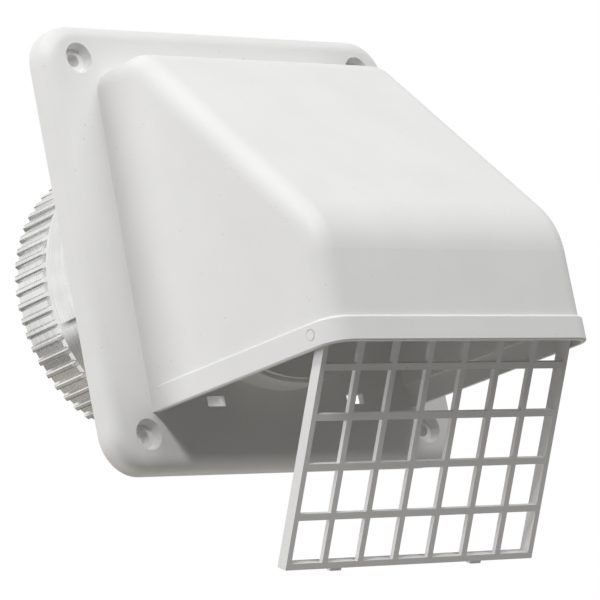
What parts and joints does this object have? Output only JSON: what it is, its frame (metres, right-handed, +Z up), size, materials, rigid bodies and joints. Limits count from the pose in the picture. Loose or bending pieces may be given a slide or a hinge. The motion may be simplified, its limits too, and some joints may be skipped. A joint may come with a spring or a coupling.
{
  "type": "dryer vent cap",
  "caption": "Wall vent hood with a sloped roof, screw flange, hinged mesh pest guard in its mouth, damper flap inside and a crimped sheet-metal tail pipe for a round duct.",
  "frame": {"origin": "on the duct axis, in the plane of the wall that the flange's back rim rests on", "axes": "+X across the wall to the right as seen from outside, +Y along the duct into the wall, +Z up"},
  "size_m": [0.156, 0.1639, 0.2017],
  "materials": {
    "hood_plastic": "fine satin moulded white",
    "pipe_aluminium": "bright rolled sheet, faint brushing round the pipe",
    "flap_plastic": "fine satin moulded white",
    "guard_plastic": "fine satin moulded white"
  },
  "bodies": {
    "hood": {"hood_body": "hood_plastic", "tail_pipe": "pipe_aluminium"},
    "guard": {"pest_guard": "guard_plastic"},
    "damper": {"damper_flap": "flap_plastic"}
  },
  "joints": [
    {"name": "guard_hinge", "type": "hinge", "parent": "hood", "child": "guard", "pos_m": [0, -0.0902, -0.0551], "axis": [1, 0, 0], "range_deg": [-58, 59.3]},
    {"name": "damper_hinge", "type": "hinge", "parent": "hood", "child": "damper", "pos_m": [0, -0.0203, 0.0548], "axis": [-1, 0, 0], "range_deg": [0, 42]}
  ]
}
